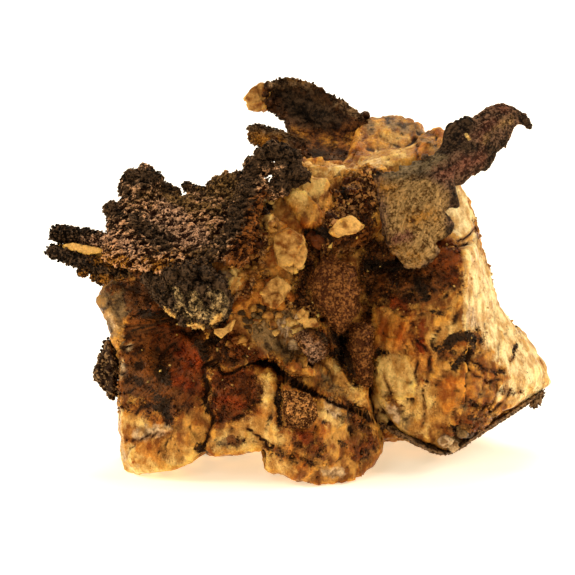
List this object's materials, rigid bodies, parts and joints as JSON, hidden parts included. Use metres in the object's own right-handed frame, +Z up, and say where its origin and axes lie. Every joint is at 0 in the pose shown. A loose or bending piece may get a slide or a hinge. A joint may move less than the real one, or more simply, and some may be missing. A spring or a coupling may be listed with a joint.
{
  "type": "kongsbergite specimen",
  "caption": "Lump of iron-stained calcite with crusted, folded leaves of native silver standing out of its face and top.",
  "frame": {"origin": "under the middle of the specimen's box, on the table it stands on", "axes": "+X along the specimen's length, from the left crust to the right wing; +Y into the lump, away from the display face; +Z up"},
  "size_m": [0.0506, 0.0319, 0.0355],
  "materials": {
    "calcite_lump": "matte",
    "calcite_crystal": "satin",
    "silver_black_crust": "matte",
    "silver_satin_leaf": "satin",
    "silver_brown_leaf": "matte"
  },
  "bodies": {
    "root": {"calcite_matrix": "calcite_lump", "silver_crust_left": "silver_black_crust", "silver_nodule_front": "silver_black_crust", "silver_crust_side": "silver_black_crust", "silver_fold_upper_lip": "silver_black_crust", "silver_fold_lower_lip": "silver_black_crust", "calcite_fold_filling": "calcite_crystal", "silver_wing_right": "silver_satin_leaf", "silver_plate_back": "silver_brown_leaf", "silver_flake_back": "silver_brown_leaf", "silver_leaf_centre": "silver_brown_leaf", "silver_leaf_lower": "silver_brown_leaf", "silver_shard_purple": "silver_brown_leaf", "silver_patch_front": "silver_brown_leaf", "silver_sheet_underside": "silver_black_crust", "calcite_tip_back": "calcite_crystal", "calcite_chip_centre": "calcite_crystal", "calcite_crystal_upper": "calcite_crystal", "calcite_crystal_lower": "calcite_crystal", "calcite_beads": "calcite_crystal", "calcite_shard_nodule": "calcite_crystal"}
  },
  "joints": []
}
